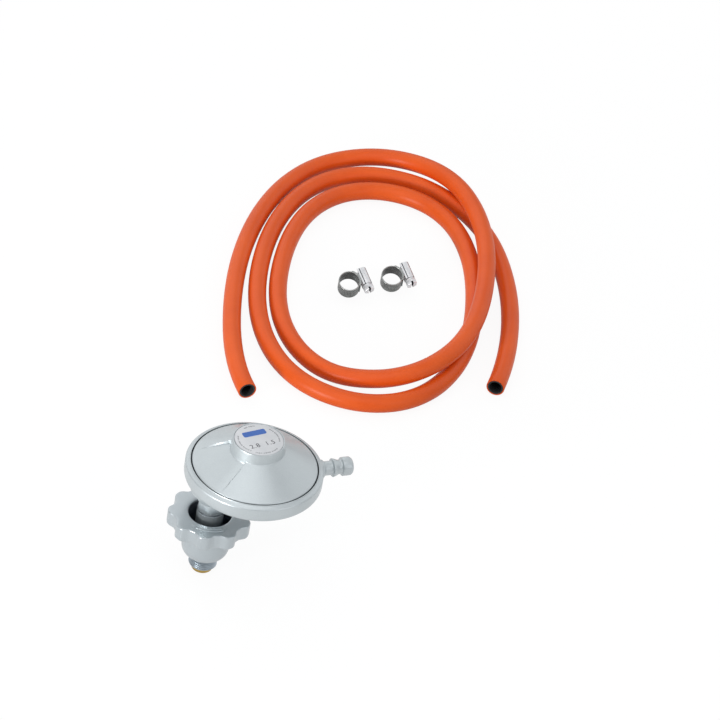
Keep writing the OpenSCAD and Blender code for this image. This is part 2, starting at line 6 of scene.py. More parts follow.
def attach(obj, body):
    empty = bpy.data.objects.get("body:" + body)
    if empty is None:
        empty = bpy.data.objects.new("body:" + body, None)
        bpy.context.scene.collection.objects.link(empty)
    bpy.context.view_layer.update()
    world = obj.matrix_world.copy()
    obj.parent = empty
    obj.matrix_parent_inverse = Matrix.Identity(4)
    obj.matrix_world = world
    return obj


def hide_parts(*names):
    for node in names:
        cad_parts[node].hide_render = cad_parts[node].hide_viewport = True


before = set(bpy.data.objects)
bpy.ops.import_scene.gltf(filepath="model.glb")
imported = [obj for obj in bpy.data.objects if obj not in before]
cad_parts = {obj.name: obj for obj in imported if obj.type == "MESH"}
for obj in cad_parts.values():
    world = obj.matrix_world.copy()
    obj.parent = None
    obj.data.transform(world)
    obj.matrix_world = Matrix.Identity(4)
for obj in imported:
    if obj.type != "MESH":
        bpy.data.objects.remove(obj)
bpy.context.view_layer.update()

MM = 0.001

# levels in mm, upwards
Z_NECK = 3.5           # foot of the male thread
Z_CUP = 12.0           # underside of the wheel's cup
Z_FLOOR = 15.1         # collar of the nipple, on the cup's floor
Z_HEAD = 16.1          # top of that collar
Z_STEM = 23.4          # lower end of the stem
Z_GRIP = 31.8          # underside of the wheel's rim
Z_TOP = 41.6           # the wheel's face
Z_HEX = 44.8           # foot of the stem's hexagon
Z_BOSS = 51.8          # underside of the inlet boss
Z_UNDER = 58.3         # underside of the body
Z_RIM0 = 63.6          # where the rolled rim begins
SPIGOT_Z = 64.8        # outlet axis
SEAT_Z = 71.4          # seat under the diaphragm's edge
Z_SEAM = 74.6          # edge of the cover
Z_HUB0 = 86.7          # where the cone meets the hub
Z_LABEL = 92.4         # face of the label
BODY_X = 23.0          # body axis from the inlet axis


# ---------------------------------------------------------------- camera
def studio_camera():
    bpy.ops.object.camera_add(location=(-0.71536, -1.62831, 1.50296),
                              rotation=[math.radians(a) for a in (52.6505, -8.1893, -19.7405)])
    camera = bpy.context.object
    camera.data.lens = 200
    camera.data.sensor_width = 36
    camera.data.clip_end = 20
    bpy.context.scene.camera = camera


studio_camera()


# ---------------------------------------------------------------- hand tools
def deselect():
    """Leaves edit mode and selects nothing."""
    if bpy.context.object and bpy.context.object.mode != "OBJECT":
        bpy.ops.object.mode_set(mode="OBJECT")
    bpy.ops.object.select_all(action="DESELECT")


def grab(piece):
    """Selects one piece alone."""
    deselect()
    piece.select_set(True)
    bpy.context.view_layer.objects.active = piece


def settle(piece, name, angle=32):
    """Puts a piece's place into its mesh, shades it and names it."""
    grab(piece)
    bpy.ops.object.transform_apply(location=True, rotation=True, scale=True)
    bpy.ops.object.shade_smooth_by_angle(angle=math.radians(angle))
    piece.name = name
    piece.data.name = name
    return piece


def outward(piece):
    """Joins doubled corners and turns all faces outward."""
    grab(piece)
    bpy.ops.object.mode_set(mode="EDIT")
    bpy.ops.mesh.select_all(action="SELECT")
    bpy.ops.mesh.remove_doubles(threshold=1e-6)
    bpy.ops.mesh.normals_make_consistent(inside=False)
    bpy.ops.object.mode_set(mode="OBJECT")


def use(piece, kind, **settings):
    """Adds a modifier, sets it and applies it."""
    grab(piece)
    tool = piece.modifiers.new(kind.lower(), kind)
    for key, value in settings.items():
        setattr(tool, key, value)
    bpy.ops.object.modifier_apply(modifier=tool.name)


def pick(piece, wanted, kind="VERT"):
    """Opens a piece for editing with only what lies in the wanted place selected. Places in mm."""
    grab(piece)
    bpy.ops.object.mode_set(mode="EDIT")
    bpy.ops.mesh.select_all(action="DESELECT")
    bpy.ops.mesh.select_mode(type=kind)
    bpy.ops.object.mode_set(mode="OBJECT")
    parts = {"VERT": piece.data.vertices, "EDGE": piece.data.edges, "FACE": piece.data.polygons}[kind]
    for part in parts:
        if kind == "VERT":
            spot = part.co
        elif kind == "FACE":
            spot = part.center
        else:
            a, b = (piece.data.vertices[i].co for i in part.vertices)
            spot = (a + b) / 2
        part.select = bool(wanted(spot / MM))
    bpy.ops.object.mode_set(mode="EDIT")


def arc(cr, cz, r, start, end, steps=6, rise=None):
    """Points of a profile round (cr, cz), from one angle to another; an oval where rise isn't r."""
    rise = r if rise is None else rise
    turns = [math.radians(start + (end - start) * k / steps) for k in range(steps + 1)]
    return [(cr + r * math.cos(turn), cz + rise * math.sin(turn)) for turn in turns]


def from_axis(spot, x=0.0):
    """Distance of a place from the upright axis at x."""
    return math.hypot(spot.x - x, spot.y)


def copy_of(model):
    """A copy with a mesh of its own."""
    piece = model.copy()
    piece.data = model.data.copy()
    bpy.context.collection.objects.link(piece)
    return piece


def cut_away(piece, unwanted):
    """Deletes the faces in the unwanted place and closes what that opens."""
    pick(piece, unwanted, "FACE")
    bpy.ops.mesh.delete(type="FACE")
    close_holes(piece)


def close_holes(piece):
    grab(piece)
    bpy.ops.object.mode_set(mode="EDIT")
    bpy.ops.mesh.select_all(action="SELECT")
    bpy.ops.mesh.fill_holes(sides=0)
    bpy.ops.object.mode_set(mode="OBJECT")


def turned(profile, sides=128, at=(0, 0), close=False):
    """Draws rings up a profile of (radius, height) as on a lathe. All in mm.

    The last ring is joined to the first with close; without it both ends are capped."""
    deselect()
    r0, z0 = profile[0]
    bpy.ops.mesh.primitive_circle_add(vertices=sides, radius=r0 * MM,
                                      location=(at[0] * MM, at[1] * MM, z0 * MM),
                                      fill_type="NOTHING" if close else "NGON")
    piece = bpy.context.object
    bpy.ops.object.transform_apply(location=True)
    bpy.ops.object.mode_set(mode="EDIT")
    bpy.ops.mesh.select_all(action="SELECT")
    bpy.ops.mesh.select_mode(type="EDGE")
    if not close:
        bpy.ops.mesh.region_to_loop()
    r, z = r0, z0
    for r1, z1 in profile[1:]:
        bpy.ops.mesh.extrude_edges_move(TRANSFORM_OT_translate={"value": (0, 0, (z1 - z) * MM)})
        bpy.ops.transform.resize(value=(r1 / r, r1 / r, 1),
                                 center_override=(at[0] * MM, at[1] * MM, z1 * MM))
        r, z = r1, z1
    if close:
        bpy.ops.mesh.select_all(action="SELECT")
        bpy.ops.mesh.region_to_loop()
        bpy.ops.mesh.bridge_edge_loops()
    else:
        bpy.ops.mesh.edge_face_add()
    bpy.ops.object.mode_set(mode="OBJECT")
    outward(piece)
    return piece


def lay_along_x(piece, x, y, z):
    """Turns a piece made round Z so that its axis runs along +X through a point."""
    grab(piece)
    piece.rotation_euler = (0, math.radians(90), 0)
    piece.location = (x * MM, y * MM, z * MM)
    bpy.ops.object.transform_apply(location=True, rotation=True)


# ---------------------------------------------------------------- materials
def add_node(tree, kind, inputs=(), **settings):
    """Adds a node. Each input gets a plain value or the socket that feeds it."""
    made = tree.nodes.new(kind)
    for key, value in settings.items():
        setattr(made, key, value)
    for key, value in dict(inputs).items():
        if hasattr(value, "links"):
            tree.links.new(value, made.inputs[key])
        else:
            made.inputs[key].default_value = value
    return made


class Finish:
    """A procedural material built node by node on Object coordinates."""

    def __init__(self, name, rough, metal=0.0, ior=1.5, coat=0.0, coat_rough=0.1):
        self.mat = bpy.data.materials.new(name)
        self.mat.use_nodes = True
        self.tree = self.mat.node_tree
        self.shader = self.tree.nodes["Principled BSDF"]
        self.shader.inputs["Roughness"].default_value = rough
        self.shader.inputs["Metallic"].default_value = metal
        self.shader.inputs["IOR"].default_value = ior
        self.shader.inputs["Coat Weight"].default_value = coat
        self.shader.inputs["Coat Roughness"].default_value = coat_rough
        self.place = self.tree.nodes.new("ShaderNodeTexCoord").outputs["Object"]
        self.height = None

    def node(self, kind, inputs=(), **settings):
        return add_node(self.tree, kind, inputs, **settings)

    def noise(self, scale, detail, rough):
        return self.node("ShaderNodeTexNoise", {"Vector": self.place, "Scale": scale, "Detail": detail,
                                                "Roughness": rough}).outputs["Fac"]

    def ramp(self, fac, stops):
        """Colours along a value, from (place, colour) pairs."""
        made = self.node("ShaderNodeValToRGB", {"Fac": fac})
        while len(made.color_ramp.elements) < len(stops):
            made.color_ramp.elements.new(0.5)
        for point, (at, color) in zip(made.color_ramp.elements, stops):
            point.position = at
            point.color = (*color, 1)
        return made.outputs["Color"]

    def math(self, operation, a, b=0.0):
        return self.node("ShaderNodeMath", {0: a, 1: b}, operation=operation).outputs[0]

    def color(self, socket):
        self.tree.links.new(socket, self.shader.inputs["Base Color"])

    def rough(self, fac, low, high):
        """Lets the roughness wander between two values."""
        spread = self.node("ShaderNodeMapRange", {"Value": fac, "To Min": low, "To Max": high})
        self.tree.links.new(spread.outputs[0], self.shader.inputs["Roughness"])

    def bump(self, height, distance, strength):
        """Adds fine relief on top of what there is."""
        settings = {"Height": height, "Distance": distance, "Strength": strength}
        if self.height:
            settings["Normal"] = self.height
        self.height = self.node("ShaderNodeBump", settings).outputs["Normal"]
        self.tree.links.new(self.height, self.shader.inputs["Normal"])


def cast_paint(name, light, dark, rough):
    """Silver paint on a zinc casting: slight mottling and a fine orange peel."""
    f = Finish(name, rough, metal=0.7, ior=1.45, coat=0.42, coat_rough=0.14)
    cloud = f.noise(70, 4, 0.6)
    fleck = f.noise(1900, 2, 0.8)
    mixed = f.math("ADD", f.math("MULTIPLY", cloud, 0.35), f.math("MULTIPLY", fleck, 0.65))
    f.color(f.ramp(mixed, [(0.32, dark), (0.68, light)]))
    f.rough(cloud, rough - 0.05, rough + 0.07)
    grain, peel = f.noise(1500, 3, 0.55), f.noise(260, 2, 0.5)
    f.bump(grain, 0.03 * MM, 0.5)
    f.bump(peel, 0.08 * MM, 0.35)
    return f.mat


def bare_metal(name, light, dark, rough, metal=1.0, scale=900):
    """Plated or turned metal with a fine grain and small stains."""
    f = Finish(name, rough, metal=metal)
    stain = f.noise(scale / 4, 4, 0.6)
    f.color(f.ramp(stain, [(0.3, dark), (0.7, light)]))
    f.rough(f.noise(scale, 3, 0.6), rough - 0.06, rough + 0.1)
    f.bump(f.noise(scale * 2, 2, 0.5), 0.02 * MM, 0.35)
    return f.mat


def hose_rubber():
    """Orange rubber with faint clouds, a fine grain and shallow waves."""
    f = Finish("orange_hose_rubber", 0.42)
    f.shader.inputs["Specular IOR Level"].default_value = 0.32
    cloud = f.noise(28, 4, 0.6)
    grain = f.noise(1400, 3, 0.6)
    mixed = f.math("ADD", f.math("MULTIPLY", cloud, 0.75), f.math("MULTIPLY", grain, 0.25))
    f.color(f.ramp(mixed, [(0.3, (0.72, 0.086, 0.006)), (0.7, (0.84, 0.118, 0.011))]))
    f.rough(cloud, 0.36, 0.46)
    f.bump(grain, 0.04 * MM, 0.5)
    f.bump(f.noise(120, 2, 0.5), 0.12 * MM, 0.3)
    return f.mat


def black_rubber():
    f = Finish("black_rubber", 0.6)
    grain = f.noise(1800, 3, 0.6)
    f.color(f.ramp(grain, [(0.3, (0.010, 0.010, 0.011)), (0.7, (0.022, 0.022, 0.024))]))
    f.rough(grain, 0.5, 0.75)
    f.bump(grain, 0.05 * MM, 0.6)
    return f.mat


def label_foil():
    f = Finish("label_foil", 0.42, metal=0.15)
    cloud = f.noise(160, 3, 0.5)
    f.color(f.ramp(cloud, [(0.3, (0.65, 0.665, 0.685)), (0.7, (0.72, 0.73, 0.745))]))
    f.rough(cloud, 0.36, 0.48)
    f.bump(f.noise(2600, 2, 0.5), 0.01 * MM, 0.4)
    return f.mat


def ink(name, light, dark):
    f = Finish(name, 0.45)
    speck = f.noise(2400, 3, 0.6)
    f.color(f.ramp(speck, [(0.35, dark), (0.65, light)]))
    f.rough(speck, 0.4, 0.55)
    return f.mat


def clip_band_steel(name, place):
    """Grey band steel: the worm's close slots pressed round it, with painted shade darkening the inside and a
    painted highlight along its two edges.
    """
    slots_round, slot_slant = 46.0, 260.0
    middle, slot_end, edge, wall = 5.0 * MM, 3.8 * MM, 4.7 * MM, 6.65 * MM
    f = Finish(name, 0.3, metal=0.85)
    back = place.inverted()
    own = f.node("ShaderNodeMapping", {"Vector": f.place, "Location": back.to_translation(),
                                       "Rotation": back.to_euler()})
    parts = f.node("ShaderNodeSeparateXYZ", {"Vector": own.outputs["Vector"]})
    angle = f.math("ARCTAN2", parts.outputs["Y"], parts.outputs["X"])
    height = f.math("SUBTRACT", parts.outputs["Z"], middle)
    off_middle = f.math("ABSOLUTE", height)
    wave = f.math("SINE", f.math("ADD", f.math("MULTIPLY", angle, slots_round),
                                 f.math("MULTIPLY", height, slot_slant)))
    slots = f.math("MULTIPLY", wave, f.math("LESS_THAN", off_middle, slot_end))
    stain = f.noise(300, 4, 0.6)
    streaks = f.node("ShaderNodeTexNoise", {"Vector": own.outputs["Vector"], "Scale": 220.0}).outputs["Fac"]
    radius_squared = f.math("ADD", f.math("POWER", parts.outputs["X"], 2.0),
                            f.math("POWER", parts.outputs["Y"], 2.0))
    inner = f.math("LESS_THAN", radius_squared, wall ** 2)
    edges = f.math("GREATER_THAN", off_middle, edge)
    worn = f.math("ADD", f.math("MULTIPLY", stain, 0.7), f.math("MULTIPLY", slots, 0.12))
    # painted shade on the inner wall, varied by a noise, and a painted highlight along the two edges
    painted_inner_shade = f.math("MULTIPLY", inner, f.math("MULTIPLY", streaks, 0.42))
    fac = f.math("ADD", f.math("SUBTRACT", worn, painted_inner_shade), f.math("MULTIPLY", edges, 0.5))
    f.color(f.ramp(fac, [(0.1, (0.020, 0.021, 0.020)), (0.3, (0.16, 0.17, 0.165)),
                         (0.5, (0.27, 0.285, 0.275)), (0.8, (0.46, 0.48, 0.47))]))
    f.rough(stain, 0.2, 0.34)
    f.bump(slots, 0.12 * MM, 0.8)
    return f.mat


PAINT = cast_paint("silver_paint", (0.62, 0.668, 0.683), (0.54, 0.59, 0.608), 0.42)
WHEEL_PAINT = cast_paint("silver_paint_wheel", (0.56, 0.61, 0.635), (0.50, 0.55, 0.575), 0.30)
STEM_PAINT = cast_paint("silver_paint_stem", (0.58, 0.635, 0.66), (0.52, 0.575, 0.60), 0.31)
# dark metal for painted shade in grooves, folds, slots and under overhangs
PAINTED_SHADE = bare_metal("painted_shade_zinc", (0.16, 0.17, 0.19), (0.10, 0.11, 0.12), 0.5)
# darker metal for painted shade down the wheel's bore
BORE_SHADE_PAINT = bare_metal("bore_shade_paint", (0.33, 0.37, 0.43), (0.24, 0.27, 0.32), 0.5)
STEEL = bare_metal("zinc_plated_steel", (0.50, 0.56, 0.61), (0.38, 0.43, 0.47), 0.30, scale=500)
BRIGHT = bare_metal("bright_steel", (0.88, 0.89, 0.90), (0.74, 0.75, 0.77), 0.34, metal=0.55)
BRASS = bare_metal("brass", (0.64, 0.45, 0.14), (0.46, 0.30, 0.08), 0.28)
BRONZE = bare_metal("sintered_bronze", (0.50, 0.34, 0.16), (0.30, 0.20, 0.09), 0.6, scale=3000)
RUBBER = black_rubber()
ORANGE = hose_rubber()
FOIL = label_foil()
BLUE = ink("blue_ink", (0.055, 0.165, 0.52), (0.040, 0.125, 0.44))
GREY_INK = ink("grey_ink", (0.13, 0.13, 0.14), (0.08, 0.08, 0.09))


def paint_shade(piece, where, metal=PAINTED_SHADE):
    """Gives the faces in that place a dark metal finish as painted shade."""
    piece.data.materials.append(metal)
    pick(piece, where, "FACE")
    piece.active_material_index = len(piece.data.materials) - 1
    bpy.ops.object.material_slot_assign()
    bpy.ops.object.mode_set(mode="OBJECT")


def dress(piece, finish, body):
    """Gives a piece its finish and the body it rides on."""
    piece.data.materials.clear()
    piece.data.materials.append(finish)
    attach(piece, body)


# ---------------------------------------------------------------- hose
HOSE_OD = 11.6
HOSE_BORE = 8.0
LINING_SHARE = 0.86                # lining's outside as a share of the hose's
COIL_C = (192.8, 236.6)            # middle of the coil
COIL_A = math.radians(64)          # how far its long axis is turned
COIL_RATIO = 1.7                   # long axis to short axis
COIL_Q = 0.035                     # how much its four corners swell
FIRST_TURN, STATION = -140, 28     # first station and the step to the next, in degrees
# half the coil's short axis at each station, and how high the hose lies off the floor there
COIL_R = [98, 90, 87.5, 86, 85, 82, 76, 71.5, 69.5, 68.5, 65.5, 61.5, 60, 60, 61, 61.5, 62.5, 62.5,
          62.5, 62.5, 62.5, 64.5, 68.5, 71.5, 72.5, 72.5, 73, 74, 74.5, 74.5, 73.5, 72.5, 73.5, 80, 88.5, 96]
COIL_H = [0, 0, 0, 0, 0.5, 5, 11.5, 12.6, 12.6, 12.6, 11.5, 5, 0.5] + [0] * 23


def smooth(values, x):
    """A soft curve through the values, read at station x."""
    i = min(int(x), len(values) - 2)
    t = x - i
    b, c = values[i], values[i + 1]
    a = values[i - 1] if i else 2 * b - c
    d = values[i + 2] if i + 2 < len(values) else 2 * c - b
    return 0.5 * (2 * b + (c - a) * t + (2 * a - 5 * b + 4 * c - d) * t * t + (3 * b - 3 * c + d - a) * t ** 3)


def hose_route(per_station):
    """The hose's middle line, in metres."""
    route = []
    for k in range((len(COIL_R) - 1) * per_station + 1):
        x = k / per_station
        turn = math.radians(FIRST_TURN + STATION * x)
        r = smooth(COIL_R, x) * (1 + COIL_Q * (1 - math.cos(4 * turn)) / 2)
        p, s = COIL_RATIO * r * math.cos(turn), r * math.sin(turn)
        route.append(((COIL_C[0] + p * math.cos(COIL_A) + s * math.sin(COIL_A)) * MM,
                      (COIL_C[1] + p * math.sin(COIL_A) - s * math.cos(COIL_A)) * MM,
                      (HOSE_OD / 2 + max(0.0, smooth(COIL_H, x))) * MM))
    return route


def swept(name, route, outer, inner):
    """A hollow tube along the route: a bevelled curve made a mesh, then given its wall."""
    curve = bpy.data.curves.new(name, "CURVE")
    curve.dimensions = "3D"
    curve.bevel_depth = outer * MM
    curve.bevel_resolution = 10
    line = curve.splines.new("POLY")
    line.points.add(len(route) - 1)
    for point, place in zip(line.points, route):
        point.co = (*place, 1)
    piece = bpy.data.objects.new(name, curve)
    bpy.context.collection.objects.link(piece)
    grab(piece)
    bpy.ops.object.convert(target="MESH")
    piece = bpy.context.object
    outward(piece)
    use(piece, "SOLIDIFY", thickness=(outer - inner) * MM, offset=-1.0, use_even_offset=True)
    use(piece, "BEVEL", width=0.25 * MM, segments=2, limit_method="ANGLE", angle_limit=math.radians(50))
    return settle(piece, name, 40)


def make_hose():
    route = hose_route(10)
    between = HOSE_OD / 2 * LINING_SHARE
    cover = swept("hose_cover", route, HOSE_OD / 2, between)
    lining = swept("hose_lining", route, between, HOSE_BORE / 2)
    dress(cover, ORANGE, "regulator")
    dress(lining, RUBBER, "regulator")
    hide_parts("gas_hose")


make_hose()


# ---------------------------------------------------------------- regulator body
GROOVE_R = 36.9        # inside of this the rim's groove floor gets painted shade
CONE_SLOPE = (Z_HUB0 - Z_SEAM) / (36.4 - 15.5)
SECTOR_DEPTH = 1.5     # how far the sector over the inlet lies below the cone, at the hub
SECTOR_OUT = 34.9      # radius where the sector begins to sink
SECTOR_RUN = 17.4      # from there inwards until it is at its full depth
SECTOR_AT = 185        # the direction it lies in
SECTOR_HALF = 39.4     # half its angle at the hub
SECTOR_HUB = 17.4      # radius where that is measured
SECTOR_TAPER = 0.4     # how many degrees each half loses per mm outwards


def make_lower_casting():
    """Rolled rim and dish, inlet boss and outlet spigot."""
    rim = turned([(0.5, Z_UNDER), (25.5, Z_UNDER), (26.8, Z_UNDER + 0.12), (27.8, Z_UNDER + 0.5),
                  (33.9, Z_RIM0 - 1.0)]
                 + arc(36.8, Z_RIM0 + 3.2, 3.2, -112, 0, 11) + [(40.0, 69.0)]
                 + arc(38.65, 72.15, 1.35, 0, 66, 8)
                 + [(37.55, 74.0), (37.4, 74.2)] + arc(37.2, 74.38, 0.19, 10, 170, 5)
                 + [(36.98, 74.3), (36.98, SEAT_Z), (33.2, SEAT_Z), (33.2, 65.2), (27.2, 59.9), (25.4, 59.2),
                    (0.5, 59.2)], 256, (BODY_X, 0), close=True)
    settle(rim, "lower_rim", 34)
    boss = turned([(6.5, Z_BOSS), (8.3, Z_BOSS), (8.7, Z_BOSS + 0.35), (9.0, Z_BOSS + 2), (9.5, Z_BOSS + 3.9),
                   (10.4, Z_BOSS + 5.3), (11.9, Z_BOSS + 6.3), (13.4, Z_UNDER + 0.3), (13.4, Z_UNDER + 2)], 128)
    settle(boss, "inlet_boss", 34)
    root = [(7.6, 36.2), (6.9, 38.6), (6.1, 40.2), (5.6, 41.2), (5.42, 42.0), (5.32, 42.45), (4.95, 42.8),
            (4.5, 43.0), (4.28, 43.3), (4.2, 43.9), (4.2, 47.5)]
    near_barb = [(4.32, 47.9), (5.2, 48.3), (5.42, 48.42), (5.5, 48.65), (5.44, 49.0), (5.0, 50.2),
                 (4.4, 51.6), (4.22, 52.2), (4.2, 53.5)]
    end_barb = [(4.34, 53.8), (5.2, 54.1), (5.42, 54.2), (5.5, 54.45), (5.5, 58.8), (5.42, 59.15),
                (4.75, 59.95), (4.4, 60.3), (3.9, 60.55), (3.3, 60.6), (2.9, 60.45), (2.75, 60.0)]
    spigot = turned(root + near_barb + end_barb + [(2.75, 36.2)], 112, close=True)
    lay_along_x(spigot, BODY_X, 0, SPIGOT_Z)
    settle(spigot, "outlet_spigot", 34)
    for piece in (rim, boss, spigot):
        dress(piece, PAINT, "regulator")
        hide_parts("lower_body")
    # painted shade on the floor of the groove round the cover's edge
    paint_shade(rim, lambda spot: from_axis(spot, BODY_X) < GROOVE_R and SEAT_Z - 0.1 < spot.z < 74.25)


def make_cover():
    """The cone and hub on the lathe, then the sector over the inlet pushed down ring by ring."""
    rings = [35.8, 35.5, 34.8, 33.6, 32, 30.4, 28.8, 27.2, 25.6, 24, 22.4, 20.8, 19.2, 17.9, 17.0]
    cone = [(r, Z_SEAM - 0.1 + (36.4 - r) * CONE_SLOPE) for r in rings]
    foot = [(16.28, 86.15)] + arc(16.55, 86.8, 0.7, 240, 180, 5) + [(15.84, 87.0)]
    edge = [(34.0, 72.52), (36.1, 72.52), (36.2, 72.7), (36.23, 74.15), (36.18, 74.4), (36.05, 74.6)]
    lip = [(15.16, 91.9), (15.08, 92.25), (14.95, 92.43), (14.75, 92.5), (14.5, 92.45), (14.36, 92.3)]
    inside = [(14.32, 91.5), (11.0, 91.5), (11.0, 90.6), (12.6, 90.3), (12.6, 85.0)]
    cover = turned(edge + cone + foot + lip + inside, 480, (BODY_X, 0), close=True)
    for r, z in cone[1:] + foot:
        depth = SECTOR_DEPTH * min(1.0, max(0.0, (SECTOR_OUT - r) / SECTOR_RUN))
        half = SECTOR_HALF - SECTOR_TAPER * (r - SECTOR_HUB)

        def in_sector(spot, inner):
            turn = math.degrees(math.atan2(spot.y, spot.x - BODY_X)) % 360 - SECTOR_AT
            return (abs(from_axis(spot, BODY_X) - r) < 0.03 and abs(spot.z - z) < 0.03
                    and inner < turn and abs(turn) < half)
        pick(cover, lambda spot: in_sector(spot, -90))
        bpy.ops.transform.translate(value=(0, 0, -depth * MM))
        # a fine cut along the foot of the near step
        z -= depth
        pick(cover, lambda spot: in_sector(spot, half - 0.8))
        bpy.ops.transform.translate(value=(0, 0, -min(0.4, depth) * MM))
        bpy.ops.object.mode_set(mode="OBJECT")
    settle(cover, "cover_cone", 30)
    dress(cover, PAINT, "regulator")
    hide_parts("upper_cover")
    # painted shade on the cover's outer wall down in the groove
    paint_shade(cover, lambda spot: from_axis(spot, BODY_X) > 36.15 and spot.z < 74.1)


def on_label(piece, x, y, turn):
    """Lays a piece flat on the label, at a place from the body's axis."""
    grab(piece)
    piece.location = ((BODY_X + x) * MM, y * MM, (Z_LABEL + 0.02) * MM)
    piece.rotation_euler = (0, 0, math.radians(turn))
    bpy.ops.object.transform_apply(location=True, rotation=True, scale=True)


def make_label():
    """Foil disc with a plain bar, two plain figures and rows of small marks round its edge."""
    disc = turned([(0.5, 91.65), (14.0, 91.65), (14.18, 91.8), (14.18, 92.25), (14.1, 92.36),
                   (13.95, Z_LABEL), (0.5, Z_LABEL)], 160, (BODY_X, 0))
    settle(disc, "label_disc")
    dress(disc, FOIL, "regulator")
    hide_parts("hub_label")
    deselect()
    bpy.ops.mesh.primitive_cube_add(size=1, scale=(14.4 * MM, 4.3 * MM, 0.04 * MM))
    bar = bpy.context.object
    bpy.ops.object.transform_apply(scale=True)
    pick(bar, lambda spot: abs(spot.z) < 0.01, "EDGE")
    bpy.ops.mesh.bevel(offset=1.0 * MM, segments=6)
    bpy.ops.object.mode_set(mode="OBJECT")
    on_label(bar, -0.95, 5.9, 7.4)
    settle(bar, "label_bar")
    dress(bar, BLUE, "regulator")
    deselect()
    bpy.ops.object.text_add()
    figures = bpy.context.object
    figures.data.body = "2.8  1.5"
    figures.data.size = 4.7 * MM
    figures.data.align_x = "CENTER"
    figures.data.align_y = "CENTER"
    figures.data.extrude = 0.02 * MM
    figures.data.space_character = 1.12
    bpy.ops.object.convert(target="MESH")
    figures = bpy.context.object
    on_label(figures, 0.6, -4.7, 9)
    settle(figures, "label_figures")
    dress(figures, GREY_INK, "regulator")
    make_marks()


def make_marks():
    """One tick is modelled, the rest are copied in rows; every eighth is left out."""
    step, gap_every, gap_at = 3.1, 8, 6
    deselect()
    bpy.ops.mesh.primitive_cube_add(size=1, scale=(0.8 * MM, 0.3 * MM, 0.03 * MM))
    tick = bpy.context.object
    bpy.ops.object.transform_apply(scale=True)
    use(tick, "BEVEL", width=0.01 * MM, segments=1)
    rows = [("label_marks_a", 157, 229, 12.0), ("label_marks_b", 243, 313, 12.3),
            ("label_marks_c", 342, 403, 11.8), ("label_marks_d", 85, 116, 12.1)]
    for name, start, end, radius in rows:
        marks = []
        for k in range(int((end - start) / step) + 1):
            if k % gap_every == gap_at:
                continue
            turn = math.radians(start + k * step)
            mark = copy_of(tick)
            mark.location = ((BODY_X + radius * math.cos(turn)) * MM, radius * math.sin(turn) * MM,
                             (Z_LABEL + 0.015) * MM)
            mark.rotation_euler = (0, 0, turn)
            mark.scale = (0.8 if k % 3 else 1.1, 1.2 if k % 2 else 0.8, 1)
            marks.append(mark)
        deselect()
        for mark in marks:
            mark.select_set(True)
        bpy.context.view_layer.objects.active = marks[0]
        bpy.ops.object.join()
        row = settle(bpy.context.object, name)
        dress(row, GREY_INK, "regulator")
    bpy.data.objects.remove(tick)


make_lower_casting()
make_cover()
make_label()


# ---------------------------------------------------------------- inlet
STEM_FLATS = 14.4      # across the flats of the stem's hexagon


def make_stem():
    """A hexagon milled on a round bar, so that each flat ends on a small shelf."""
    deselect()
    bpy.ops.mesh.primitive_cylinder_add(vertices=6, radius=STEM_FLATS / math.sqrt(3) * MM, depth=7.2 * MM,
                                        location=(0, 0, (Z_HEX + 3.4) * MM),
                                        rotation=(0, 0, math.radians(34)))
    hexagon = bpy.context.object
    bpy.ops.object.transform_apply(location=True, rotation=True)
    bar = turned([(0.5, Z_HEX - 0.3), (7.95, Z_HEX - 0.3), (7.95, Z_BOSS + 0.3), (0.5, Z_BOSS + 0.3)], 96)
    use(hexagon, "BOOLEAN", operation="INTERSECT", object=bar, solver="EXACT")
    bpy.data.objects.remove(bar)
    use(hexagon, "BEVEL", width=0.12 * MM, segments=2, limit_method="ANGLE", angle_limit=math.radians(25))
    settle(hexagon, "stem_hexagon", 25)
    post = turned([(5.2, Z_STEM), (7.2, Z_STEM), (7.8, Z_STEM + 0.6), (7.92, Z_HEX - 1.2), (8.0, Z_HEX - 0.25),
                   (7.94, Z_HEX - 0.06), (7.8, Z_HEX), (7.2, Z_HEX - 0.02), (6.9, Z_HEX - 0.3),
                   (5.2, Z_HEX - 0.4)], 96, close=True)
    settle(post, "stem_post")
    for piece in (hexagon, post):
        dress(piece, STEM_PAINT, "regulator")
        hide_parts("inlet_stem")
    # painted shade along the shelf at the foot of the hexagon
    paint_shade(post, lambda spot: from_axis(spot) > 6.8 and spot.z > Z_HEX - 0.2)


LOBES = 9
LOBE_TURN = 4.0        # direction of the first lobe
LOBE_DEPTH = 1.5       # half the depth of the valleys
PER_LOBE = 24          # columns of the rim to each lobe
WHEEL_R = 24.3
CUP_R = 13.95
BORE_R = 12.65
ARROW_AT, ARROW_HALF = 249.0, 27.0


